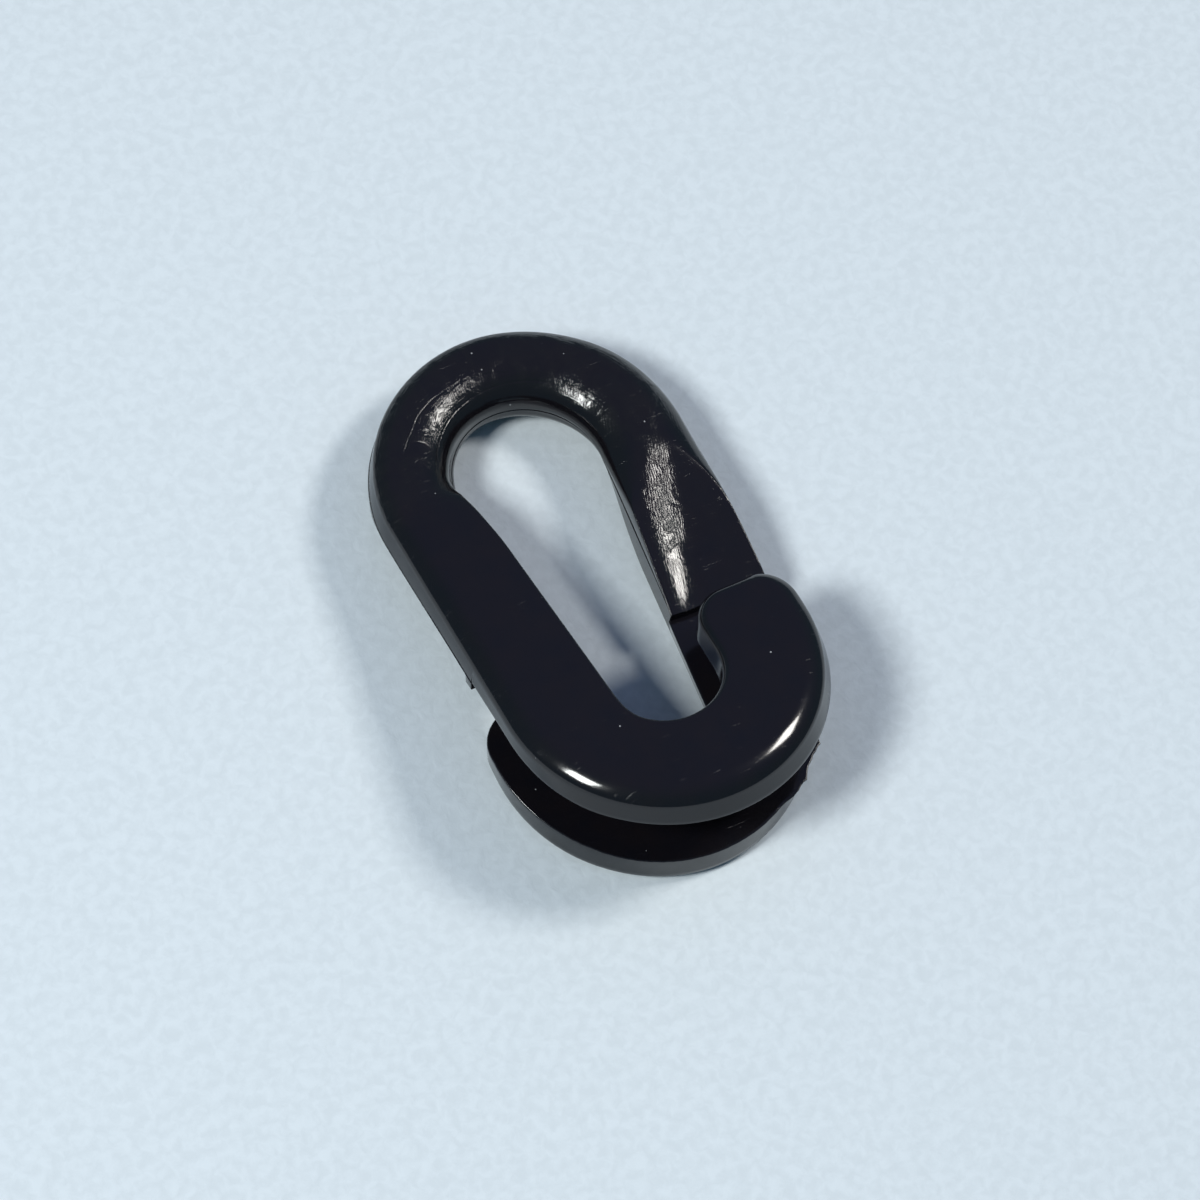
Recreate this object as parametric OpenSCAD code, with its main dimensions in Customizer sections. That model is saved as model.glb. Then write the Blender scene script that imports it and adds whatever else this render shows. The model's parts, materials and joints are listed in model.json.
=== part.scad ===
// Split connecting link for fence chain, rope and wire.
// One moulding: a stiff bow carries two sprung arms whose hooks lap over each other.
// Origin: axis of the round seat inside the bow, on the mid-plane of the link.
// +Y points to the crown of the bow, -Y to the hook end, +Z to the upper hook's side.
// Each arm is drawn closed, lying flat on the mid-plane, and is then swung out by the splay
// angle about the X axis, which is also the axis that it flexes about.

/* [Link] */
// Width over the two shanks, and the diameter of both round ends
link_w = 25; // [24:0.5:26]
// Thickness of one half layer; the bow is two layers thick
layer_t = 3; // [2.8:0.1:3.4]
// Distance between the centres of the two outer round ends
arc_gap = 19.75; // [19:0.25:24]
// Distance from the seat centre back to the centre of the bow's outer round
bow_offset = 0.65; // [0.2:0.05:1]
// Radius of the rounded outer edges
edge_r = 1.5; // [1:0.1:1.8]

/* [Eye] */
// Radius of the round seat inside the bow
seat_r = 6.25; // [5.75:0.05:6.5]
// Radius of the rounded shoulders at both ends of the seat
seat_edge_r = 2.4; // [1.2:0.1:2.4]
// Radius of the throat at the hook end
throat_r = 4.6; // [4:0.1:5]
// Distance from the seat centre to the throat centre
throat_y = 21.25; // [21:0.25:22]
// Sideways shift of a throat towards its own shank
throat_shift = 0.25; // [0:0.05:0.4]

/* [Lap] */
// Distance from the seat centre to the step where a shank drops to one layer
step_y = 14.7; // [14:0.1:15]
// Height of that step above the lap face
step_h = 0.9; // [0.6:0.1:1.2]
// Distance from the seat centre to the start of the ramp that leads down to the step
ramp_y = 1.2; // [1.2:0.1:4]
// Clearance of each lap face from the mid-plane when the link is squeezed shut
lap_gap = 0.1; // [0.05:0.05:0.2]

/* [Hook head] */
// Distance from the seat centre to the tip of a hook's head
head_y = 16.6; // [16.2:0.1:17]
// Radius of the two corners of the head
head_corner_r = 2.7; // [2:0.1:3]
// Distance from the centre line to the head's inner side
head_inner_x = 4.35; // [4.2:0.05:4.6]

/* [Flexing arms] */
// Angle by which each free arm stands away from the mid-plane
splay = 6; // [4:0.5:7]
// Clearance between the bow's round ends and the arms' round sockets
knuckle_gap = 0.3; // [0.25:0.05:0.4]

/* [Hidden] */
$fn = 96;

plastic = [0.035, 0.036, 0.042];
outer_r = link_w / 2;
hook_arc_y = bow_offset + arc_gap;
link_end_y = hook_arc_y + outer_r;

// The knuckle stays just under the flat faces, so that no face runs out at a tangent
knuckle_r = layer_t - 0.1;
socket_r = knuckle_r + knuckle_gap;

// Room by which cutting shapes pass the body that they cut
past = 1;
// Segments in each rounded edge, and in each quarter of a rounded outline
edge_steps = 6;
outline_steps = 14;

// The sides of the eye lean in towards the throat by this angle
lean = asin((seat_r - throat_r) / throat_y);
throat_centre = [-throat_shift, -throat_y];

// Points on an arc about c, from angle a0 to a1
function arc(c, r, a0, a1, steps) =
    [for (i = [0:steps]) let (a = a0 + (a1 - a0) * i / steps) c + r * [cos(a), sin(a)]];

// Half of the link's cross-section, from the centre line out to a rounded outer edge
module half_section() {
    polygon(concat(
        [[0, -layer_t]],
        arc([outer_r - edge_r, -layer_t + edge_r], edge_r, -90, 0, edge_steps),
        arc([outer_r - edge_r, layer_t - edge_r], edge_r, 0, 90, edge_steps),
        [[0, layer_t]]
    ));
}

// One rounded end of the link, a half disc on the side that the angle says
module round_end(centre_y, turn) {
    translate([0, centre_y, 0])
        rotate([0, 0, turn])
            rotate_extrude(angle = 180)
                half_section();
}

// The straight stretch between the two rounded ends
module straight_sides() {
    translate([0, -bow_offset, 0])
        rotate([90, 0, 0])
            linear_extrude(arc_gap) {
                half_section();
                mirror([1, 0]) half_section();
            }
}

// The solid long oval that every sub-part is cut from, with its outer edges rounded
module blank() {
    union() {
        round_end(-bow_offset, 0);
        straight_sides();
        round_end(-hook_arc_y, 180);
    }
}

// The round seat, which opens out in a rounded edge at each face
module seat_cutter() {
    edge_c = seat_r + seat_edge_r;
    straight = layer_t - seat_edge_r;
    rotate_extrude()
        polygon(concat(
            [[0, -layer_t - past], [edge_c, -layer_t - past]],
            arc([edge_c, -straight], seat_edge_r, 270, 180, edge_steps),
            arc([edge_c, straight], seat_edge_r, 180, 90, edge_steps),
            [[edge_c, layer_t + past], [0, layer_t + past]]
        ));
}

// The leaning sides of the eye between the seat and the knuckle
module eye_sides_cutter() {
    top = -seat_r * sin(lean);
    top_x = seat_r * cos(lean);
    bottom = -knuckle_r - past;
    bottom_x = top_x + (bottom - top) * tan(lean);
    linear_extrude(2 * (layer_t + past), center = true)
        polygon([[-top_x, top], [-bottom_x, bottom], [bottom_x, bottom], [top_x, top]]);
}

// A round bar along the axis that both arms flex about
module hinge_bar(r) {
    rotate([0, 90, 0]) cylinder(r = r, h = link_w + 2 * past, center = true);
}

// Everything on the crown's side of the flexing axis, with the round knuckles below it
module bow_region() {
    translate([-outer_r - past, 0, -layer_t - past])
        cube([link_w + 2 * past, link_w, 2 * (layer_t + past)]);
    hinge_bar(knuckle_r);
}

module bow() {
    color(plastic)
        difference() {
            intersection() {
                blank();
                bow_region();
            }
            seat_cutter();
            eye_sides_cutter();
        }
}

// Plan of the upper arm: its shank on the left, round the throat, to the head on the right
function arm_outline() =
    let (
        side = outer_r + past,
        corner_y = -head_y - head_corner_r,
        shank_x = seat_r * cos(lean),
        corner_outer = [outer_r + 0.1 - head_corner_r, corner_y],
        corner_inner = [head_inner_x + head_corner_r, corner_y]
    )
    concat(
        [[-shank_x, 0], [-side, 0], [-side, -link_end_y - past], [side, -link_end_y - past]],
        [[side, corner_y]],
        arc(corner_outer, head_corner_r, 0, 90, outline_steps),
        arc(corner_inner, head_corner_r, 90, 180, outline_steps),
        arc(throat_centre, throat_r, -2, -180 + lean, 2 * outline_steps)
    );

// Side view of what is cut away under the upper arm: the ramp, the step and the lap
module lap_cutter() {
    run = (step_y - ramp_y) / (layer_t - step_h);
    below = -layer_t - past;
    rotate([90, 0, 90])
        linear_extrude(link_w + 2 * past, center = true)
            polygon([
                [-ramp_y + past * run, below],
                [-step_y, -step_h],
                [-step_y, lap_gap],
                [-link_end_y - past, lap_gap],
                [-link_end_y - past, below]
            ]);
}

// The upper arm, closed on the mid-plane
module flat_arm() {
    difference() {
        intersection() {
            blank();
            linear_extrude(2 * (layer_t + past), center = true) polygon(arm_outline());
        }
        lap_cutter();
        hinge_bar(socket_r);
    }
}

module upper_hook() {
    color(plastic) rotate([-splay, 0, 0]) flat_arm();
}

module lower_hook() {
    color(plastic) rotate([splay, 0, 0]) rotate([0, 180, 0]) flat_arm();
}

bow();
upper_hook();
lower_hook();
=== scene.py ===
"""Looks of a black plastic split connecting link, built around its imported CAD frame.

The link is one moulding. Its skin is swept here as a fine mesh along the plan of the link: it is
drawn lying flat and closed, as the mould makes it, and is then bent out by the splay of its arms.
All lengths are millimetres in the row frame until a mesh is made, which is in metres.
"""
import json
import math

import bmesh
import bpy
import numpy as np
from mathutils import Matrix, Vector


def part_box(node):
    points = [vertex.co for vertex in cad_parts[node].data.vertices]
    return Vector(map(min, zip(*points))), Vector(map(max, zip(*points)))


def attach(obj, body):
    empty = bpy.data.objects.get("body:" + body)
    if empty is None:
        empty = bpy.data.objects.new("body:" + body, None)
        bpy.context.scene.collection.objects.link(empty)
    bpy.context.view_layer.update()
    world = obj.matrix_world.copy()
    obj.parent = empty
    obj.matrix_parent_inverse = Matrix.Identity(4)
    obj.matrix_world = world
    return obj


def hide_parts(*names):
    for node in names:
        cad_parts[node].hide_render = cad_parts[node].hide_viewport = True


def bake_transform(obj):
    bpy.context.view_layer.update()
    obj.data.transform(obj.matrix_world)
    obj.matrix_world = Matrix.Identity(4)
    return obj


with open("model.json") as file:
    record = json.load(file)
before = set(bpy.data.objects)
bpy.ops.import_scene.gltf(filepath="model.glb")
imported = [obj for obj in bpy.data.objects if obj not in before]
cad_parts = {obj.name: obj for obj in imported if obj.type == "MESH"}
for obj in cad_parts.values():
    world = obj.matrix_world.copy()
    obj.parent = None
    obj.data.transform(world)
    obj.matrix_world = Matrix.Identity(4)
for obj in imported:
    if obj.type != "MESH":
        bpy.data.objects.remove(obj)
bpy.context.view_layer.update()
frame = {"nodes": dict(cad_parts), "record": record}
MM = 0.001

# ---------------------------------------------------------------- dimensions from the frame
BOW_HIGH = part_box("bow")[1] / MM
SEAT_R = frame["record"]["mounts"][0]["dims"]["r_mm"]
OUTER_R = BOW_HIGH.x
LAYER_T = BOW_HIGH.z
BOW_OFFSET = OUTER_R - BOW_HIGH.y

# ---------------------------------------------------------------- dimensions shared with the CAD
ARC_GAP = 19.75
THROAT_R = 4.6
THROAT_Y = 21.25
THROAT_SHIFT = 0.25
STEP_Y = 14.7
STEP_H = 0.9
LAP_GAP = 0.1
HEAD_Y = 16.6
HEAD_CORNER_R = 2.7
HEAD_INNER_X = 4.35
SPLAY = math.radians(6.0)
HOOK_Y = BOW_OFFSET + ARC_GAP

# ---------------------------------------------------------------- dimensions of the skin only
SEAT_FLAT = 0.5         # half the height of the seat's straight part
CREASE_D = 1.1          # distance from the seat's wall to the crease round its shoulder
CREASE_Z = 2.3          # height of that crease
CREASE_TURN = 44.0      # how far round its ellipse the seat's lower curve goes, in degrees
SHOULDER_D = 3.2        # distance from the seat's wall to where the shoulder runs out
INNER_EDGE = 0.28       # small radius along the inside of the shank and throat
TIP_EDGE = 0.8          # rounding round the tip of a hook's head
CRISP_EDGE = 0.09       # break on the edges of the lap faces and the ramp
BEND_HALF = 2.5         # the shank bends from flat to splayed over this far each side of y = 0
RIDGE = 0.05            # height of the flash ridge along the parting line
RIDGE_HALF = 0.06       # half its width
SEAT_LEAN = 0.55        # how far the lap side of the inner wall overhangs the eye, at the seat
THROAT_LEAN = 0.8       # the same at the throat
# The rounding of an outer wall, from the wall to the flat: tilt in degrees and radius of each stretch
ROUNDING = ((80.0, 42.0, 0.9), (42.0, 18.0, 3.2), (18.0, 5.0, 2.0), (5.0, 0.0, 18.0))
OUTER_EDGE = sum(r * (math.sin(math.radians(a)) - math.sin(math.radians(b))) for a, b, r in ROUNDING)
RAMP_START = 2.5        # the ramp's curve starts here, above the top, where it cuts nothing yet
RAMP_LIFT = 0.35        # how far above the top it starts
RAMP_EASE = 0.3         # part of the ramp over which it steepens
RAMP_CLEARANCE = 0.15   # slope by which the ramp's sheet rises clear of the bow, before its start
SOFT_CREASE = 0.035     # how far the crease between ramp and rounding is softened

# A swell runs slanting down the ramp
SWELL_X = 9.22          # distance from the centre line to its middle, at y = 0
SWELL_SLANT = 0.235     # how much that distance changes for each millimetre along y
SWELL_SLOPE = 0.18      # its outward slope
SWELL_BACK = 0.055      # opposite slope on both sides of it
SWELL_FOOT = -13.9      # y at which its half width is SWELL_HALF
SWELL_HALF = 0.55
SWELL_FLARE = 0.07      # how much wider its half width gets for each millimetre up from there
SWELL_HALF_RANGE = (0.5, 0.95)
SWELL_TOP, SWELL_GROWTH = 1.5, 5.0      # y at which it begins, and the length over which it grows
SWELL_UPPER = 0.55      # its share of the full slope from y = SWELL_UPPER_Y upwards
SWELL_UPPER_Y, SWELL_UPPER_RUN = -3.0, 8.0      # from there it grows to full over this length
SWELL_AT_STEP = 0.25    # its share of the full slope at the step
SWELL_STEP_RUN = 1.8    # length over which it would grow by the whole slope from there

# Torn flash on the lap edge of the lower hook
FLASH_SPAN = (0.06, 0.20, 0.35)     # its start, spike and end, in shares of the hook
FLASH_TAPER = 6.0       # stations over which it runs out
FLASH_LEAST = 0.30      # width of the fin without its teeth
FLASH_TEETH = 0.6       # width of its teeth
FLASH_SPIKE = 0.2       # width of its spike
SPIKE_HALF = 1.6        # half the length of the spike, in stations
NICKS = 0.03            # depth of the nicks along the whole lap edge
TORN_POWER = 4          # how fast the flash dies away up the wall

BAND_STEPS = 20         # mesh rows from an edge to where the flat begins
ACROSS = 12             # mesh columns across the flat
WALL_ROWS = 6           # mesh rows up a wall
MIDDLE_ROW = WALL_ROWS // 2     # the row on the parting line
PROFILE_STEPS = 500     # points in the profile of a band, before it is resampled
PROFILE_POWER = 1.6     # how much closer together they are at the edge
TURN_WEIGHT = 0.7       # length in millimetres that one radian of turning counts for
WELD = 5e-7             # vertices closer than this are welded, in metres
SHARP_ANGLE = math.radians(38)  # edges sharper than this are shaded as edges


def unit(angle):
    """Unit vectors at angles in degrees."""
    a = np.radians(np.asarray(angle, float))
    return np.stack([np.cos(a), np.sin(a)], axis=-1)


def arc(centre, radius, start, end, count, side):
    """Points on an arc and the normals that point out of the plastic: side 1 outwards, -1 inwards."""
    n = unit(np.linspace(start, end, count + 1))
    return np.asarray(centre, float) + radius * n, side * n


def line(a, b, count, normal):
    """Points on a straight stretch with one normal."""
    t = np.linspace(0, 1, count + 1)[:, None]
    points = np.asarray(a, float) * (1 - t) + np.asarray(b, float) * t
    return points, np.repeat([normal], count + 1, axis=0)


def join(pieces):
    """Chains stretches end to end, without repeating the shared points."""
    points = [pieces[0][0]] + [p[1:] for p, _ in pieces[1:]]
    normals = [pieces[0][1]] + [n[1:] for _, n in pieces[1:]]
    return np.concatenate(points), np.concatenate(normals)


# ---------------------------------------------------------------- plan of one half of the link
# Stretches of the half, from the crown to the tip of its hook, with their mesh counts
BOW_N, SHANK_N, ROOT_N, HOOK_N, SIDE_N, CORNER_N = 60, 46, 20, 116, 5, 18
STEP_RUN = 0.04         # the step's face leans by this much, so that it has two mesh lines


def plan_of_half():
    """Matching points on the outer and the inner outline of the left half, crown first."""
    drop = (SEAT_R - THROAT_R - THROAT_SHIFT) / THROAT_Y
    lean = math.degrees(math.asin(drop))
    inner_normal = unit(lean)
    throat = (-THROAT_SHIFT, -THROAT_Y)
    shank_top = SEAT_R * unit(180 + lean)
    shank_end = np.array(throat) + THROAT_R * unit(180 + lean)

    def shank_at(y):
        t = (y - shank_top[1]) / (shank_end[1] - shank_top[1])
        return shank_top + (shank_end - shank_top) * t

    low = -STEP_Y - STEP_RUN
    left = (-1.0, 0.0)
    corner_y = -HEAD_Y - HEAD_CORNER_R
    outer_corner = (OUTER_R - HEAD_CORNER_R, corner_y)
    inner_corner = (HEAD_INNER_X + HEAD_CORNER_R, corner_y)
    outer = join([
        arc((0, -BOW_OFFSET), OUTER_R, 90, 180, BOW_N, 1),
        line((-OUTER_R, -BOW_OFFSET), (-OUTER_R, -STEP_Y), SHANK_N, left),
        line((-OUTER_R, -STEP_Y), (-OUTER_R, low), 1, left),
        line((-OUTER_R, low), (-OUTER_R, -HOOK_Y), ROOT_N, left),
        arc((0, -HOOK_Y), OUTER_R, 180, 360, HOOK_N, 1),
        line((OUTER_R, -HOOK_Y), (OUTER_R, corner_y), SIDE_N, (1.0, 0.0)),
        arc(outer_corner, HEAD_CORNER_R, 0, 90, CORNER_N, 1),
    ])
    inner = join([
        arc((0, 0), SEAT_R, 90, 180 + lean, BOW_N, -1),
        line(shank_top, shank_at(-STEP_Y), SHANK_N, inner_normal),
        line(shank_at(-STEP_Y), shank_at(low), 1, inner_normal),
        line(shank_at(low), shank_end, ROOT_N, inner_normal),
        arc(throat, THROAT_R, 180 + lean, 360, HOOK_N, -1),
        line((HEAD_INNER_X, -THROAT_Y), (HEAD_INNER_X, corner_y), SIDE_N, (-1.0, 0.0)),
        arc(inner_corner, HEAD_CORNER_R, 180, 90, CORNER_N, 1),
    ])
    return outer, inner


# Stations at which the stretches begin, and the last one, at the tip of the head
STEP = BOW_N + SHANK_N
ARC_START = STEP + 1 + ROOT_N
HEAD_START = ARC_START + HOOK_N
CORNER_START = HEAD_START + SIDE_N
LAST = CORNER_START + CORNER_N
QUARTER = HOOK_N // 4
SEAM = BOW_N - 12       # the station where the bow's skin ends and the arms' skins begin

# How far the outer wall stands out from the plan, as (station, millimetres) marks
UPPER_WALL = ((0, 0), (BOW_N, 0.2), (STEP, 0.05), (ARC_START, -0.05), (ARC_START + QUARTER, 0.3),
              (ARC_START + 2 * QUARTER, 0.45), (ARC_START + 3 * QUARTER, 0.5), (HEAD_START, 0.6),
              (CORNER_START, 0.6), (LAST, 0.3))
LOWER_WALL = ((0, 0), (BOW_N, 0.1), (STEP, 0.12), (ARC_START, -0.05),
              (ARC_START + 3 * QUARTER, -0.05), (CORNER_START, 0.35), (LAST, 0.2))
# How far the upper half's wall tucks in below its ramp, for each millimetre of the ramp's height
RAMP_TUCK = ((0, 0), (BOW_N - 14, 0.05), (BOW_N + 8, 0.36), (LAST, 0.36))
# How much further out the lower half stands at its lap edge, and at its top edge
LOWER_LAP = ((0, 0), (BOW_N, 0.15), (STEP, 0.15), (ARC_START, 0), (LAST, 0))
LOWER_TOP = ((0, 0), (STEP, 0), (ARC_START + 10, 0.35), (ARC_START + QUARTER, 0.2),
             (ARC_START + 2 * QUARTER, 0.28), (ARC_START + 3 * QUARTER, 0.12), (LAST, 0))
# How far the inner wall's lap side overhangs the eye
INNER_LEAN = ((0, 0), (BOW_N, SEAT_LEAN), (ARC_START, THROAT_LEAN), (ARC_START + HOOK_N // 3, 0),
              (LAST, 0))
UPPER_LIP, LOWER_LIP = 0.38, 0.12       # how far the top's inner edge overhangs the eye
NUB, NUB_LENGTH = 0.3, 3                # the nub at the foot of the upper half's shank, in stations

# How far in from the outer and the inner edge the shaped band goes before the flat begins
BOW_REACH, TIP_REACH = 2.3, 1.6
OUTER_REACH = ((0, BOW_REACH), (BOW_N, BOW_REACH), (BOW_N + SHANK_N // 2, OUTER_EDGE),
               (HEAD_START, OUTER_EDGE), (CORNER_START, BOW_REACH), (LAST, TIP_REACH))
INNER_REACH = ((0, SHOULDER_D), (BOW_N, SHOULDER_D), (STEP, TIP_REACH), (LAST, TIP_REACH))

# Size of the outer rounding, as a share of the full one: on the visible side of the upper half and
# the lap side of both, on the lower half's own top, and what the lower half's shank adds
FULL_ROUND = ((0, 0.55), (BOW_N // 2, 0.75), (STEP, 0.95), (ARC_START + int(HOOK_N * 0.6), 1),
              (CORNER_START, 0.8), (LAST, 0.4))
SMALL_ROUND = ((0, 0.55), (BOW_N, 0.8), (ARC_START, 0.5), (LAST, 0.4))
SHANK_ROUND = ((0, 0), (BOW_N // 2, 0.1), (BOW_N, 0.6), (BOW_N + 24, 0), (LAST, 0))
# Radius of the inner edge, and the stations over which the seat's shoulder fades into it
INNER_ROUND = ((0, INNER_EDGE), (ARC_START + HOOK_N // 2, INNER_EDGE), (HEAD_START, 0.7),
               (LAST, TIP_EDGE))
UPPER_SEAT_FADE = (BOW_N - 16, BOW_N + 8)
LOWER_SEAT_FADE = (BOW_N - 6, BOW_N + 30)


def along(stations, marks):
    """A value at each station, smoothly drawn through (station, value) marks."""
    at, value = zip(*marks)
    t = np.interp(stations, at, np.arange(len(at)))
    k = np.clip(np.floor(t).astype(int), 0, len(at) - 2)
    f = t - k
    f = f * f * (3 - 2 * f)
    value = np.array(value)
    return value[k] * (1 - f) + value[k + 1] * f


def ramp_level(y):
    """Height above the mid-plane of the ramp that leads down to the step."""
    t = np.clip((RAMP_START - y) / (STEP_Y + RAMP_START), 0, 1)
    eased = np.where(t < RAMP_EASE, t * t / (2 * RAMP_EASE), t - RAMP_EASE / 2) / (1 - RAMP_EASE / 2)
    clear_of_bow = RAMP_CLEARANCE * np.clip(y - RAMP_START, 0, None)
    return LAYER_T + RAMP_LIFT + (STEP_H - LAYER_T - RAMP_LIFT) * eased + clear_of_bow


def broad_profile():
    """Distance in from the wall, and drop below the top, along the rounding of an outer edge."""
    tilt = np.radians(np.linspace(ROUNDING[0][0], 0, 321))
    mid = (tilt[:-1] + tilt[1:]) / 2
    starts, radii = [math.radians(a) for a, b, r in ROUNDING], [r for a, b, r in ROUNDING]
    radius = np.interp(-mid, -np.array(starts), np.arange(len(starts)) * 1.0)
    radius = np.array(radii)[np.floor(radius).astype(int)]
    step = -np.diff(tilt) * radius
    d = np.concatenate([[0], np.cumsum(step * np.cos(mid))])
    z = np.concatenate([[0], np.cumsum(step * np.sin(mid))])
    return d, z[-1] - z


BROAD_D, BROAD_DROP = broad_profile()


def broad(d, scale):
    """Drop below the top at distance d in from an outer wall, for a rounding of that scale."""
    return scale * np.interp(d / scale, BROAD_D, BROAD_DROP)


def tight(d, size):
    """Drop below a flat at distance d from an edge with that radius."""
    inside = np.clip(size - d, 0, None)
    return size - np.sqrt(np.clip(size * size - inside * inside, 0, None))


def seat_drop(d):
    """Drop below the top at distance d from the seat's wall: a steep curve, a crease, a shoulder."""
    turn = math.radians(CREASE_TURN)
    wide = CREASE_D / (1 - math.cos(turn))
    tall = (CREASE_Z - SEAT_FLAT) / math.sin(turn)
    around = np.arccos(np.clip(1 - d / wide, -1, 1))
    steep = LAYER_T - SEAT_FLAT - tall * np.sin(around)
    run, rise = SHOULDER_D - CREASE_D, LAYER_T - CREASE_Z
    radius = (run * run + rise * rise) / (2 * rise)
    left = np.clip(SHOULDER_D - d, 0, run)
    shoulder = radius - np.sqrt(radius * radius - left * left)
    return np.where(d < CREASE_D, steep, shoulder)


def smaller(a, b, soft):
    """The smaller of two heights, with the crease between them softened."""
    return -soft * np.logaddexp(-a / soft, -b / soft)


def resample(d, z, rows):
    """Spreads rows points along each profile, closer together where it turns."""
    dd, dz = np.diff(d, axis=1), np.diff(z, axis=1)
    slope = np.unwrap(np.arctan2(dz, dd), axis=1)
    turn = np.abs(np.diff(slope, axis=1, prepend=slope[:, :1]))
    length = np.hypot(dd, dz) + TURN_WEIGHT * turn
    run = np.concatenate([np.zeros((len(d), 1)), np.cumsum(length, axis=1)], axis=1)
    out_d, out_z = [], []
    for r, dr, zr in zip(run, d, z):
        at = np.linspace(0, r[-1], rows + 1)
        out_d.append(np.interp(at, r, dr))
        out_z.append(np.interp(at, r, zr))
    return np.array(out_d), np.array(out_z)


def ragged(count, seed, smooth):
    """Seeded random values from 0 to 1, one to a station, averaged over smooth stations."""
    rng = np.random.default_rng(seed)
    kernel = np.ones(smooth) / smooth
    return np.convolve(rng.random(count), kernel, mode="same")


def swell_centre(y):
    """Distance from the link's centre line to the middle of the swell on the ramp."""
    return SWELL_X + SWELL_SLANT * y


class Half:
    """One half of the link, lying flat: a top sheet, a lap sheet and the walls between them."""

    def __init__(self, is_upper):
        self.is_upper = is_upper
        (self.outer, self.outer_n), (self.inner, self.inner_n) = plan_of_half()
        self.count = len(self.outer)
        self.chain()
        self.lean_walls()
        self.top = self.sheet(is_top=True)
        self.lap = self.sheet(is_top=False)

    def chain(self):
        """The outline as one chain: out along the outer side, over the tip, back inside."""
        t = np.linspace(0, 1, ACROSS + 1)[1:-1, None]
        tip = self.outer[-1] * (1 - t) + self.inner[-1] * t
        tip_n = np.repeat([[0.0, 1.0]], len(tip), axis=0)
        self.p = np.concatenate([self.outer, tip, self.inner[::-1]])
        self.n = np.concatenate([self.outer_n, tip_n, self.inner_n[::-1]])
        self.tip_count = len(tip)
        outer_j, inner_j = np.arange(self.count), np.arange(self.count)[::-1]
        self.station = np.concatenate([outer_j, np.full(len(tip), LAST), inner_j])
        self.is_inner = np.arange(len(self.p)) >= self.count + len(tip)
        self.is_outer = np.arange(len(self.p)) < self.count

    def on_chain(self, outer, inner, tip):
        """Values along the chain, from those at the outer and inner stations and one for the tip."""
        return np.concatenate([outer, np.full(self.tip_count, tip), inner[::-1]])

    def lean_walls(self):
        """How far the wall stands out at its top edge, at the parting line and at its lap edge."""
        j = np.arange(self.count)
        top, torn = np.zeros(self.count), np.zeros(self.count)
        if self.is_upper:
            wall = along(j, UPPER_WALL)
            tucked = wall - along(j, RAMP_TUCK) * ramp_level(self.outer[:, 1])
            lap = np.where(j <= STEP, tucked, wall)
            lap += np.where((j >= STEP - NUB_LENGTH) & (j <= STEP), NUB, 0)
        else:
            wall = along(j, LOWER_WALL)
            lap = wall + along(j, LOWER_LAP)
            top = along(j, LOWER_TOP)
            torn = self.torn_flash(j)
        most = UPPER_LIP if self.is_upper else LOWER_LIP
        lip = along(j, [(0, 0), (BOW_N, 0), (BOW_N + 20, most), (ARC_START, most),
                        (ARC_START + QUARTER, 0), (LAST, 0)])
        lean = along(j, INNER_LEAN)
        self.top_shift = self.on_chain(top, lip, 0)
        self.mid_shift = self.on_chain(wall, lean / 2, 0)
        self.lap_shift = self.on_chain(lap + torn, lean, 0)
        self.torn = self.on_chain(torn, np.zeros(self.count), 0)

    def torn_flash(self, j):
        """A ragged fin along the lap edge of the lower hook, and fine nicks beside it."""
        start, spike, stop = (ARC_START + int(HOOK_N * share) for share in FLASH_SPAN)
        taper = np.clip((stop - j) / FLASH_TAPER, 0, 1)
        teeth = FLASH_LEAST + FLASH_TEETH * ragged(self.count, seed=5, smooth=2) ** 2
        fin = np.where((j > start) & (j < stop), taper * teeth, 0)
        fin += FLASH_SPIKE * np.clip(1 - np.abs(j - spike) / SPIKE_HALF, 0, 1)
        nicks = np.where(j > STEP, (ragged(self.count, seed=11, smooth=1) - 0.5) * NICKS, 0)
        return fin + nicks

    def flat_level(self, x, y, station, is_top):
        """Height of the flat, away from the mid-plane, at a place on a sheet."""
        if is_top:
            return np.full_like(y, LAYER_T)
        level = np.where(station <= STEP, ramp_level(y), -LAP_GAP)
        return level + np.where(station <= STEP, self.ripple(x, y), 0)

    def ripple(self, x, y):
        """The swell that runs slanting down the ramp, higher on its inner side."""
        half_width = np.clip(SWELL_HALF + SWELL_FLARE * (y - SWELL_FOOT), *SWELL_HALF_RANGE)
        across = (-x - swell_centre(y)) / half_width
        grown = np.clip((SWELL_TOP - y) / SWELL_GROWTH, 0, 1)
        upper = SWELL_UPPER + (1 - SWELL_UPPER) * (SWELL_UPPER_Y - y) / SWELL_UPPER_RUN
        at_step = SWELL_AT_STEP + (y + STEP_Y) / SWELL_STEP_RUN
        share = grown * grown * (3 - 2 * grown)
        share = share * np.clip(upper, SWELL_UPPER, 1) * np.clip(at_step, SWELL_AT_STEP, 1)
        slope = SWELL_BACK * across - (SWELL_SLOPE + SWELL_BACK) * np.tanh(across)
        return half_width * share * slope

    def reach(self):
        """How far in from each edge the shaped band goes before the flat begins."""
        j = np.arange(self.count)
        return self.on_chain(along(j, OUTER_REACH), along(j, INNER_REACH), TIP_REACH)

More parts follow.
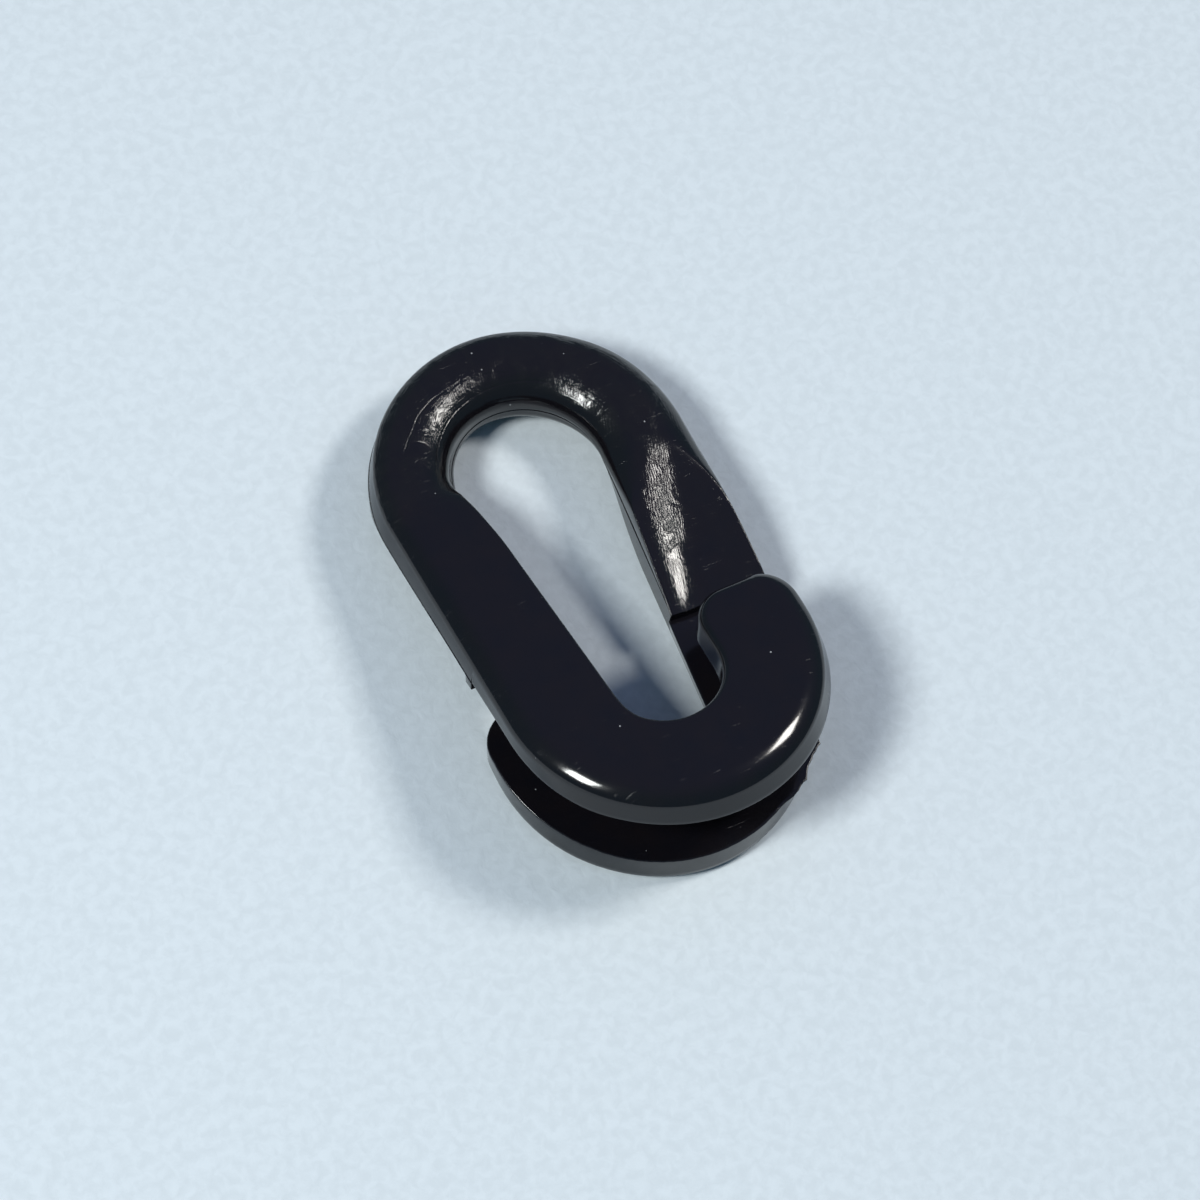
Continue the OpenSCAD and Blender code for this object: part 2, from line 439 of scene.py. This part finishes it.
    def sheet(self, is_top):
        """Band rows (chain by row) and flat columns (station by column), as x, y, z."""
        d = np.linspace(0, 1, PROFILE_STEPS)[None, :] ** PROFILE_POWER * self.reach()[:, None]
        station = np.repeat(self.station[:, None], d.shape[1], axis=1)
        shift = self.top_shift if is_top else self.lap_shift
        xy = self.p[:, None, :] + self.n[:, None, :] * (shift[:, None] - d)[..., None]
        flat = self.flat_level(xy[..., 0], xy[..., 1], station, is_top)
        body = LAYER_T - self.edge_drop(d, is_top)
        z = body if is_top else smaller(body, flat - tight(d, CRISP_EDGE), SOFT_CREASE)
        end = body[:, -1]
        d, z = resample(d, z, BAND_STEPS)
        xy = self.p[:, None, :] + self.n[:, None, :] * (shift[:, None] - d)[..., None]
        sign = 1.0 if is_top else -1.0
        band = np.concatenate([xy, sign * z[..., None]], axis=2)
        a, b = band[: self.count, -1], band[::-1][: self.count, -1]
        t = np.linspace(0, 1, ACROSS + 1)[None, 1:-1]
        flat_xy = a[:, None, :] * (1 - t[..., None]) + b[:, None, :] * t[..., None]
        if not is_top:
            j = np.repeat(np.arange(self.count)[:, None], flat_xy.shape[1], axis=1)
            level = self.flat_level(flat_xy[..., 0], flat_xy[..., 1], j, is_top)
            across = end[: self.count, None] * (1 - t) + end[::-1][: self.count, None] * t
            flat_xy[..., 2] = sign * smaller(across, level, SOFT_CREASE)
        return band, flat_xy

    def edge_drop(self, d, is_top):
        """Drop of the moulding's own rounding below its top, at distance d in from an edge."""
        j = self.station
        scale = along(j, FULL_ROUND if self.is_upper or not is_top else SMALL_ROUND)
        if not self.is_upper:
            scale = scale + along(j, SHANK_ROUND)
        outer = broad(d, scale[:, None])
        tip = tight(d, TIP_EDGE)
        fade = UPPER_SEAT_FADE if self.is_upper else LOWER_SEAT_FADE
        seat = along(j, [(0, 1), (fade[0], 1), (fade[1], 0), (LAST, 0)])[:, None]
        inner = seat_drop(d) * seat + tight(d, along(j, INNER_ROUND)[:, None]) * (1 - seat)
        return np.where(self.is_outer[:, None], outer, np.where(self.is_inner[:, None], inner, tip))


def bend_out(p, sign):
    """Bends flat points so that the arm stands off the mid-plane: sign 1 up, -1 down."""
    y, z = p[:, 1], p[:, 2]
    angle = SPLAY * np.clip((BEND_HALF - y) / (2 * BEND_HALF), 0, 1)
    half = 2 * BEND_HALF / SPLAY
    mid_y = np.where(y > BEND_HALF, y, BEND_HALF - half * np.sin(angle))
    mid_z = half * (1 - np.cos(angle))
    past = np.clip(-BEND_HALF - y, 0, None)
    mid_y = mid_y - past * np.cos(SPLAY)
    mid_z = mid_z + past * np.sin(SPLAY)
    out = p.copy()
    out[:, 1] = mid_y + sign * z * np.sin(angle)
    out[:, 2] = sign * mid_z + z * np.cos(angle)
    return out


def half_mesh(half, first, last, close_first):
    """Vertices and faces of stations first to last of a half, flat. Returns (points, faces)."""
    points, faces = [], []
    index = {}

    def vertex(key, p):
        if key not in index:
            index[key] = len(points)
            points.append(p)
        return index[key]

    total = len(half.p)
    tip = last == LAST
    chain_out = list(range(first, last + 1))
    chain_in = [total - 1 - j for j in reversed(chain_out)]
    over = list(range(half.count, total - half.count)) if tip else []
    runs = [chain_out + over + chain_in] if tip else [chain_out, chain_in]

    def band(sheet, u, k):
        return vertex((sheet, "b", u, k), getattr(half, sheet)[0][u, k])

    def flat(sheet, j, c):
        if c == 0:
            return band(sheet, j, BAND_STEPS)
        if c == ACROSS:
            return band(sheet, total - 1 - j, BAND_STEPS)
        if j == LAST:
            return band(sheet, half.count + c - 1, BAND_STEPS)
        return vertex((sheet, "f", j, c), getattr(half, sheet)[1][j, c - 1])

    def wall_point(u, row):
        """A point on the wall, from its lap edge in row 0 to its top edge in the last row."""
        low, high = half.lap[0][u, 0][2], half.top[0][u, 0][2]
        if low > -MIDDLE_ROW * RIDGE_HALF:
            # A hook's wall starts at its lap face, so it has no parting line
            share = row / WALL_ROWS
            z = low + (high - low) * share
            plain = half.lap_shift[u] - half.torn[u]
            shift = plain + (half.top_shift[u] - plain) * share
            shift += half.torn[u] * (1 - share) ** TORN_POWER
        else:
            z = (row - MIDDLE_ROW) * RIDGE_HALF
            t = z / low if z < 0 else z / high
            edge = half.lap_shift[u] if z < 0 else half.top_shift[u]
            shift = half.mid_shift[u] + (edge - half.mid_shift[u]) * t
            shift += RIDGE if row == MIDDLE_ROW else 0.0
        xy = half.p[u] + half.n[u] * shift
        return np.array([xy[0], xy[1], z])

    def wall(u, row):
        if row == 0:
            return band("lap", u, 0)
        if row == WALL_ROWS:
            return band("top", u, 0)
        return vertex(("w", u, row), wall_point(u, row))

    for run in runs:
        for u, v in zip(run[:-1], run[1:]):
            for k in range(BAND_STEPS):
                for sheet in ("top", "lap"):
                    quad = [band(sheet, u, k), band(sheet, v, k)]
                    quad += [band(sheet, v, k + 1), band(sheet, u, k + 1)]
                    faces.append(quad if sheet == "lap" else quad[::-1])
            for row in range(WALL_ROWS):
                faces.append([wall(u, row), wall(u, row + 1), wall(v, row + 1), wall(v, row)])
    for j in range(first, last):
        for c in range(ACROSS):
            for sheet in ("top", "lap"):
                quad = [flat(sheet, j, c), flat(sheet, j + 1, c)]
                quad += [flat(sheet, j + 1, c + 1), flat(sheet, j, c + 1)]
                faces.append(quad if sheet == "lap" else quad[::-1])

    def section(j):
        """The closed loop of vertices round the section at station j."""
        u, v = j, total - 1 - j
        loop = [band("top", u, k) for k in range(BAND_STEPS + 1)]
        loop += [flat("top", j, c) for c in range(1, ACROSS)]
        loop += [band("top", v, k) for k in range(BAND_STEPS, -1, -1)]
        loop += [wall(v, row) for row in range(WALL_ROWS - 1, 0, -1)]
        loop += [band("lap", v, k) for k in range(BAND_STEPS + 1)]
        loop += [flat("lap", j, c) for c in range(ACROSS - 1, 0, -1)]
        loop += [band("lap", u, k) for k in range(BAND_STEPS, -1, -1)]
        loop += [wall(u, row) for row in range(1, WALL_ROWS)]
        return loop

    if close_first:
        faces.append(section(first))
    if not tip:
        faces.append(section(last)[::-1])
    return np.array(points), faces


def make_object(name, parts):
    """Makes a mesh object from (flat points, faces, turned) parts, bent out and welded together."""
    bm = bmesh.new()
    mould = bm.verts.layers.float_vector.new("mould")
    for points, faces, turned in parts:
        flat = points * np.array([-1, 1, -1]) if turned else points
        bent = bend_out(flat, -1.0 if turned else 1.0)
        verts = []
        for p, q in zip(bent, flat):
            v = bm.verts.new(p * MM)
            v[mould] = Vector(q)
            verts.append(v)
        for face in faces:
            bm.faces.new([verts[i] for i in face])
    bmesh.ops.remove_doubles(bm, verts=bm.verts, dist=WELD)
    bmesh.ops.recalc_face_normals(bm, faces=bm.faces)
    mesh = bpy.data.meshes.new(name)
    bm.to_mesh(mesh)
    bm.free()
    mesh.shade_smooth()
    mesh.set_sharp_from_angle(angle=SHARP_ANGLE)
    piece = bpy.data.objects.new(name, mesh)
    bpy.context.scene.collection.objects.link(piece)
    return piece


# ---------------------------------------------------------------- materials
# Where the mould left a rubbed finish: ranges over which it comes up or dies away
RUBBED_BOW_Y = (-3.5, 3.0)      # along the link, on the bow
RUBBED_BOW_Z = (1.6, 2.3)       # away from the mid-plane, so that the walls stay smooth
RUBBED_RAMP = (0.5, 4.0)        # x times z, which is positive where there is a ramp
RUBBED_STEP = 0.3               # length over which it ends at the step
RUBBED_OFF = (0.6, 1.9)         # distance from the middle of the swell
RUBBED_LEAST = 0.12             # share of it that is left farther off
# Shares of the swirls and the streaks along the link: from y, to y, share before, share after
SWIRLS_FOOT = (-13.0, -7.5, 0.12, 1.0)
SWIRLS_BOW = (-1.0, 3.5, 1.0, 0.4)
STREAKS_BOW = (-1.0, 3.5, 0.9, 2.0)

# Grooves on the bow: distances from the seat's wall, slant, widths, and where they end
GROOVE_OUT, GROOVE_SLANT, GROOVE_WANDER = 1.85, 0.16, 0.5
UPPER_GROOVE = (0.02, 0.09)
LOWER_GROOVE, LOWER_GROOVE_SHARE = (0.02, 0.08), 0.8
UPPER_GROOVE_END = (0.8, 2.4)
GROOVES_FROM = (1.5, 4.0)

# Depths of the relief in millimetres
SAG_DEPTH, PORE_DEPTH, SWIRL_DEPTH, GROOVE_DEPTH, SCRATCH_DEPTH = 0.10, 0.0012, 0.018, 0.02, 0.0035
# Roughness of the bare plastic, and what its own variation, the swirls and the dust add to it
ROUGH_BARE, ROUGH_VARIES, ROUGH_SWIRL, ROUGH_DUST = 0.09, 0.06, 0.10, 0.5

NYLON_COOL = (0.0038, 0.0044, 0.0072, 1)
NYLON_WARM = (0.0082, 0.0062, 0.0070, 1)
NYLON_RUBBED = (0.0085, 0.0080, 0.0082, 1)
DUST = (0.42, 0.43, 0.44, 1)
DUST_RADIUS = (0.035, 0.065)    # edge of a speck, as a share of the spacing of the seeded points
DUST_PICK = (0.72, 0.75)        # only points with a random value above this carry a speck
PAPER_DARK = (0.672, 0.730, 0.768, 1)
PAPER_LIGHT = (0.728, 0.790, 0.832, 1)
PAPER_CLOUD = (0.66, 0.73, 0.775, 1)


class Nodes:
    """Short names for the shader nodes that the materials are made of."""

    def __init__(self, name):
        self.material = bpy.data.materials.new(name)
        self.material.use_nodes = True
        self.tree = self.material.node_tree
        self.tree.nodes.clear()

    def put(self, socket, value):
        """Links a socket to another one, or gives it a plain value."""
        if isinstance(value, bpy.types.NodeSocket):
            self.tree.links.new(value, socket)
        else:
            socket.default_value = value

    def math(self, operation, a, b=0.0):
        """A sum, product or other function of two values."""
        node = self.tree.nodes.new("ShaderNodeMath")
        node.operation = operation
        self.put(node.inputs[0], a)
        self.put(node.inputs[1], b)
        return node.outputs[0]

    def mapped(self, value, low, high, to_low=0.0, to_high=1.0):
        """A smooth step from low to high."""
        node = self.tree.nodes.new("ShaderNodeMapRange")
        node.interpolation_type = "SMOOTHSTEP"
        for socket, v in zip(node.inputs, (value, low, high, to_low, to_high)):
            self.put(socket, v)
        return node.outputs[0]

    def place(self, name):
        """The place that a mesh stores for each vertex under that name."""
        node = self.tree.nodes.new("ShaderNodeAttribute")
        node.attribute_name = name
        return node.outputs["Vector"]

    def parts(self, vector):
        """The three parts of a vector."""
        node = self.tree.nodes.new("ShaderNodeSeparateXYZ")
        self.put(node.inputs[0], vector)
        return node.outputs

    def scaled(self, vector, scale, turn=0.0):
        """A place that is scaled, and turned about z by an angle in degrees."""
        node = self.tree.nodes.new("ShaderNodeMapping")
        self.put(node.inputs["Vector"], vector)
        node.inputs["Scale"].default_value = scale
        node.inputs["Rotation"].default_value = (0, 0, math.radians(turn))
        return node.outputs[0]

    def noise(self, vector, scale, detail, distortion=0.0):
        """Soft random values, about 0.5 on average."""
        node = self.tree.nodes.new("ShaderNodeTexNoise")
        self.put(node.inputs["Vector"], vector)
        node.inputs["Scale"].default_value = scale
        node.inputs["Detail"].default_value = detail
        node.inputs["Distortion"].default_value = distortion
        return node.outputs["Fac"]

    def waves(self, vector, scale, distortion, detail_scale):
        """Wavy bands, strongly distorted into swirls."""
        node = self.tree.nodes.new("ShaderNodeTexWave")
        self.put(node.inputs["Vector"], vector)
        node.inputs["Scale"].default_value = scale
        node.inputs["Distortion"].default_value = distortion
        node.inputs["Detail"].default_value = 3.0
        node.inputs["Detail Scale"].default_value = detail_scale
        return node.outputs["Fac"]

    def cells(self, vector, scale):
        """Distance to the nearest seeded point, and a random value for each point."""
        node = self.tree.nodes.new("ShaderNodeTexVoronoi")
        self.put(node.inputs["Vector"], vector)
        node.inputs["Scale"].default_value = scale
        return node.outputs["Distance"], self.parts(node.outputs["Color"])[0]

    def mix(self, factor, a, b):
        """A colour between a and b."""
        node = self.tree.nodes.new("ShaderNodeMix")
        node.data_type = "RGBA"
        self.put(node.inputs["Factor"], factor)
        self.put(node.inputs[6], a)
        self.put(node.inputs[7], b)
        return node.outputs[2]

    def bump(self, height, depth, normal=None):
        """Bump from a height of 0 to 1 that stands for a depth in millimetres."""
        node = self.tree.nodes.new("ShaderNodeBump")
        node.inputs["Distance"].default_value = depth * MM
        self.put(node.inputs["Height"], height)
        if normal is not None:
            self.put(node.inputs["Normal"], normal)
        return node.outputs[0]

    def shade(self, colour, roughness, normal, specular):
        """Ends the material with a surface that looks like this, and returns it."""
        shader = self.tree.nodes.new("ShaderNodeBsdfPrincipled")
        out = self.tree.nodes.new("ShaderNodeOutputMaterial")
        self.put(shader.inputs["Base Color"], colour)
        self.put(shader.inputs["Roughness"], roughness)
        self.put(shader.inputs["Normal"], normal)
        shader.inputs["Specular IOR Level"].default_value = specular
        self.tree.links.new(shader.outputs[0], out.inputs[0])
        return self.material


def round_the_link(n, mould):
    """The place on the link as distance out from its middle, distance round it, and height."""
    x, y, z = n.parts(mould)
    up = n.math("MAXIMUM", y, 0.0)
    down = n.math("MINIMUM", y, 0.0)
    out = n.math("SQRT", n.math("ADD", n.math("MULTIPLY", x, x), n.math("MULTIPLY", up, up)))
    out = n.math("SUBTRACT", out, n.math("MULTIPLY", down, SWELL_SLANT))
    round_it = n.math("MULTIPLY", n.math("ARCTAN2", up, x), SEAT_R + SHOULDER_D)
    node = n.tree.nodes.new("ShaderNodeCombineXYZ")
    n.put(node.inputs[0], out)
    n.put(node.inputs[1], n.math("ADD", round_it, down))
    n.put(node.inputs[2], z)
    return node.outputs[0]


def rubbed_mask(n, mould):
    """1 where the mould left a rubbed, swirled finish: the bow and the ramp, on both sides."""
    x, y, z = n.parts(mould)
    high = n.mapped(n.math("ABSOLUTE", z), *RUBBED_BOW_Z)
    bow_part = n.math("MULTIPLY", n.mapped(y, *RUBBED_BOW_Y), high)
    ramp_side = n.mapped(n.math("MULTIPLY", x, z), *RUBBED_RAMP)
    ramp_part = n.math("MULTIPLY", ramp_side, n.mapped(y, -STEP_Y - RUBBED_STEP, -STEP_Y))
    centre = n.math("ADD", SWELL_X, n.math("MULTIPLY", y, SWELL_SLANT))
    off = n.math("ABSOLUTE", n.math("SUBTRACT", n.math("ABSOLUTE", x), centre))
    ramp_part = n.math("MULTIPLY", ramp_part, n.mapped(off, *RUBBED_OFF, 1.0, RUBBED_LEAST))
    return n.math("MAXIMUM", bow_part, ramp_part)


def tool_lines(n, mould):
    """Two fine grooves that the mould's tool left round the seat, one along its shoulder's crease."""
    x, y, z = n.parts(mould)
    out = n.math("SQRT", n.math("ADD", n.math("MULTIPLY", x, x), n.math("MULTIPLY", y, y)))
    wander = n.math("MULTIPLY", n.noise(mould, scale=0.35, detail=2.0), GROOVE_WANDER)
    lower = n.math("ABSOLUTE", n.math("SUBTRACT", out, SEAT_R + CREASE_D))
    slant = n.math("SUBTRACT", wander, n.math("MULTIPLY", x, GROOVE_SLANT))
    slant = n.math("ADD", SEAT_R + GROOVE_OUT, slant)
    upper = n.math("ABSOLUTE", n.math("SUBTRACT", out, slant))
    upper = n.mapped(upper, *UPPER_GROOVE, 1.0, 0.0)
    upper = n.math("MULTIPLY", upper, n.mapped(x, *UPPER_GROOVE_END, 1.0, 0.0))
    lines = n.math("MAXIMUM", upper, n.mapped(lower, *LOWER_GROOVE, LOWER_GROOVE_SHARE, 0.0))
    lines = n.math("MULTIPLY", lines, n.mapped(y, *GROOVES_FROM))
    return n.math("MULTIPLY", lines, -1.0)


def swirl_share(n, mould):
    """How strongly the rubbed finish shows: in patches, from 0 to 1."""
    patches = n.mapped(n.noise(mould, scale=0.7, detail=4.0, distortion=0.8), 0.36, 0.60)
    patchy = n.math("ADD", n.math("MULTIPLY", patches, 0.7), 0.3)
    return n.math("MULTIPLY", rubbed_mask(n, mould), patchy)


def swirl_relief(n, mould, worn, swirled):
    """Relief of the rubbed finish: swirls, grain, and streaks that run along the link."""
    place = n.scaled(mould, (1.0, 0.55, 1.0), turn=24)
    swirls = n.waves(place, scale=1.7, distortion=11.0, detail_scale=0.9)
    place = n.scaled(mould, (1.0, 0.6, 1.0), turn=18)
    grain = n.noise(place, scale=5.5, detail=4.0, distortion=1.0)
    place = n.scaled(round_the_link(n, mould), (5.0, 0.45, 1.0))
    streaks = n.noise(place, scale=1.5, detail=4.0, distortion=0.25)
    y = n.parts(mould)[1]
    relief = n.math("ADD", n.math("MULTIPLY", swirls, 0.6), n.math("MULTIPLY", grain, 1.5))
    relief = n.math("MULTIPLY", relief, worn)
    relief = n.math("ADD", relief, n.math("MULTIPLY", streaks, n.mapped(y, *STREAKS_BOW)))
    return n.math("MULTIPLY", relief, swirled)


def nylon_normal(n, mould, relief):
    """Every relief in the nylon: sag, pores, rubbed finish, tool lines and fine scratches."""
    normal = n.bump(n.noise(mould, scale=0.16, detail=1.0), SAG_DEPTH)
    normal = n.bump(n.noise(mould, scale=9.0, detail=2.0), PORE_DEPTH, normal)
    normal = n.bump(relief, SWIRL_DEPTH, normal)
    normal = n.bump(tool_lines(n, mould), GROOVE_DEPTH, normal)
    place = n.scaled(mould, (0.35, 11.0, 1.0), turn=31)
    scratch = n.noise(place, scale=1.1, detail=2.0, distortion=0.1)
    return n.bump(n.mapped(scratch, 0.67, 0.75), SCRATCH_DEPTH, normal)


def black_nylon():
    """Moulded black nylon: satin, with swirls, scuffs, fine scratches and a little dust."""
    n = Nodes("black_nylon")
    mould = n.place("mould")
    swirled = swirl_share(n, mould)
    y = n.parts(mould)[1]
    worn = n.math("MULTIPLY", n.mapped(y, *SWIRLS_FOOT), n.mapped(y, *SWIRLS_BOW))
    normal = nylon_normal(n, mould, swirl_relief(n, mould, worn, swirled))

    gap, pick = n.cells(mould, scale=0.75)
    speck = n.math("MULTIPLY", n.mapped(gap, *DUST_RADIUS, 1.0, 0.0), n.mapped(pick, *DUST_PICK))
    colour = n.mix(n.noise(mould, scale=0.5, detail=4.0), NYLON_COOL, NYLON_WARM)
    colour = n.mix(n.math("MULTIPLY", swirled, 0.5), colour, NYLON_RUBBED)
    colour = n.mix(n.math("MULTIPLY", speck, 0.8), colour, DUST)
    varies = n.noise(mould, scale=1.3, detail=5.0)
    rough = n.math("ADD", ROUGH_BARE, n.math("MULTIPLY", varies, ROUGH_VARIES))
    swirl = n.math("MULTIPLY", swirled, worn)
    rough = n.math("ADD", rough, n.math("MULTIPLY", swirl, ROUGH_SWIRL))
    rough = n.math("ADD", rough, n.math("MULTIPLY", speck, ROUGH_DUST))
    return n.shade(colour, rough, normal, specular=0.5)


def paper():
    """The pale floor: plain paper with a faint grain."""
    n = Nodes("pale_paper")
    node = n.tree.nodes.new("ShaderNodeTexCoord")
    place = n.scaled(node.outputs["Object"], (1 / MM, 1 / MM, 1 / MM))
    fibre = n.noise(place, scale=1.1, detail=5.0, distortion=0.4)
    cloud = n.noise(place, scale=0.07, detail=2.0)
    colour = n.mix(n.mapped(fibre, 0.3, 0.7), PAPER_DARK, PAPER_LIGHT)
    colour = n.mix(n.math("MULTIPLY", cloud, 0.12), colour, PAPER_CLOUD)
    rough = n.mapped(fibre, 0.2, 0.8, 0.86, 0.94)
    return n.shade(colour, rough, n.bump(fibre, 0.05), specular=0.2)


# ---------------------------------------------------------------- camera, floor and lights
# The view: where the camera stands round the link and above it, how far it is turned about its
# own axis, its distance from the origin, and where the origin sits in its frame
VIEW_AZIMUTH = math.radians(-37.6)
VIEW_ELEVATION = math.radians(60.0)
VIEW_ROLL = math.radians(11.9)
VIEW_DISTANCE = 411.0
VIEW_OFFSET = (-5.29, 9.20)
VIEW_WIDTH = 91.5       # width of the frame at the origin
SENSOR = 36.0
FLOOR_HALF = 0.9        # half the width of the floor, in metres

# A softbox: angle round the floor from the right of the view, elevation, size, power and colour
LEFT_SOFTBOX = (212, 49.5, 150, 3.47, (0.97, 1.0, 0.985))
RIGHT_SOFTBOX = (24, 51, 145, 2.05, (1.0, 0.975, 0.93))
LIGHT_DISTANCE = 700.0
# The room: its colour all round, and that of the ceiling where the link's flat faces mirror it
SKY_ROUND = (0.075, 0.14, 0.185, 1)
SKY_CEILING = (0.125, 0.15, 0.26, 1)
SKY_EDGE, CEILING_EDGE = 58, 24     # angles from the mirrored view where those colours are reached


def view_axes():
    """Forward, right and up of the camera."""
    a, e = -VIEW_AZIMUTH, VIEW_ELEVATION
    forward = Vector((math.sin(a) * math.cos(e), math.cos(a) * math.cos(e), -math.sin(e)))
    level = Vector((math.cos(a), -math.sin(a), 0))
    upright = level.cross(forward)
    right = math.cos(VIEW_ROLL) * level + math.sin(VIEW_ROLL) * upright
    up = math.cos(VIEW_ROLL) * upright - math.sin(VIEW_ROLL) * level
    return forward, right, up


def aim(obj, forward, right, up, location):
    """Puts an object at a location, looking forward."""
    obj.matrix_world = Matrix((
        (right.x, up.x, -forward.x, location.x * MM),
        (right.y, up.y, -forward.y, location.y * MM),
        (right.z, up.z, -forward.z, location.z * MM),
        (0, 0, 0, 1),
    ))


def add_camera():
    """A camera fitted to the outlines in the photograph."""
    forward, right, up = view_axes()
    data = bpy.data.cameras.new("camera")
    data.sensor_width = SENSOR
    data.lens = SENSOR * VIEW_DISTANCE / VIEW_WIDTH
    data.clip_start = 0.01
    data.clip_end = 10.0
    camera = bpy.data.objects.new("camera", data)
    bpy.context.scene.collection.objects.link(camera)
    location = -VIEW_DISTANCE * forward - VIEW_OFFSET[0] * right - VIEW_OFFSET[1] * up
    aim(camera, forward, right, up, location)
    bpy.context.scene.camera = camera


def add_floor():
    """A big sheet of paper under the link, which rests on its bow and its lower hook."""
    bow_low, bow_high = [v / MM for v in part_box("bow")]
    hook_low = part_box("lower_hook")[0] / MM
    rest_a = Vector((0, bow_high.y - OUTER_EDGE, bow_low.z))
    rest_b = Vector((0, hook_low.y + OUTER_EDGE, hook_low.z))
    lengthwise = (rest_b - rest_a).normalized()
    normal = lengthwise.cross(Vector((1, 0, 0))).normalized()
    if normal.z < 0:
        normal = -normal
    co = np.array([v.co for n in ("bow", "lower_hook") for v in frame["nodes"][n].data.vertices])
    low = float((co @ np.array(normal)).min())
    bm = bmesh.new()
    bmesh.ops.create_grid(bm, x_segments=40, y_segments=40, size=FLOOR_HALF)
    mesh = bpy.data.meshes.new("floor")
    bm.to_mesh(mesh)
    bm.free()
    floor = bpy.data.objects.new("floor", mesh)
    bpy.context.scene.collection.objects.link(floor)
    tilt = normal.to_track_quat("Z", "Y").to_matrix().to_4x4()
    floor.matrix_world = Matrix.Translation(normal * low) @ tilt
    mesh.materials.append(paper())
    return normal


def floor_direction(floor_up, around, elevation):
    """Direction from its angle round the floor, 0 to the right of the view, and its elevation."""
    forward, right, up = view_axes()
    across = (right - right.dot(floor_up) * floor_up).normalized()
    away = floor_up.cross(across)
    a, e = math.radians(around), math.radians(elevation)
    return (math.cos(a) * across + math.sin(a) * away) * math.cos(e) + math.sin(e) * floor_up


def add_softbox(name, floor_up, around, elevation, size, energy, colour):
    """A square light that looks at the link from a direction round the floor."""
    direction = floor_direction(floor_up, around, elevation)
    data = bpy.data.lights.new(name, "AREA")
    data.shape = "SQUARE"
    data.size = size * MM
    data.energy = energy
    data.color = colour
    light = bpy.data.objects.new(name, data)
    bpy.context.scene.collection.objects.link(light)
    light.location = direction * LIGHT_DISTANCE * MM
    light.rotation_euler = (-direction).to_track_quat("-Z", "Y").to_euler()


def add_sky(floor_up):
    """A dim room: cool and even, with a more neutral ceiling where the flat faces mirror it."""
    world = bpy.data.worlds.new("world")
    bpy.context.scene.world = world
    world.use_nodes = True
    tree = world.node_tree
    forward = view_axes()[0]
    coord = tree.nodes.new("ShaderNodeTexCoord")
    facing = tree.nodes.new("ShaderNodeVectorMath")
    facing.operation = "DOT_PRODUCT"
    facing.inputs[1].default_value = forward - 2 * forward.dot(floor_up) * floor_up
    tree.links.new(coord.outputs["Generated"], facing.inputs[0])
    ramp = tree.nodes.new("ShaderNodeValToRGB")
    ramp.color_ramp.elements[0].position = math.cos(math.radians(SKY_EDGE))
    ramp.color_ramp.elements[0].color = SKY_ROUND
    ramp.color_ramp.elements[1].position = math.cos(math.radians(CEILING_EDGE))
    ramp.color_ramp.elements[1].color = SKY_CEILING
    tree.links.new(facing.outputs["Value"], ramp.inputs[0])
    tree.links.new(ramp.outputs[0], tree.nodes["Background"].inputs[0])


# ---------------------------------------------------------------- the link
upper_half, lower_half = Half(is_upper=True), Half(is_upper=False)
bow = make_object("bow_skin", [(*half_mesh(upper_half, 0, SEAM, False), False),
                               (*half_mesh(lower_half, 0, SEAM, False), True)])
upper = make_object("upper_hook_skin", [(*half_mesh(upper_half, SEAM, LAST, True), False)])
lower = make_object("lower_hook_skin", [(*half_mesh(lower_half, SEAM, LAST, True), True)])

nylon = black_nylon()
for piece in (bow, upper, lower):
    piece.data.materials.append(nylon)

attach(bow, "bow")
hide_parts("bow")
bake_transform(upper)
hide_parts("upper_hook")
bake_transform(lower)
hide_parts("lower_hook")

add_camera()
floor_up = add_floor()
add_softbox("left_softbox", floor_up, *LEFT_SOFTBOX)
add_softbox("right_softbox", floor_up, *RIGHT_SOFTBOX)
add_sky(floor_up)
bpy.context.scene.view_settings.view_transform = "Standard"
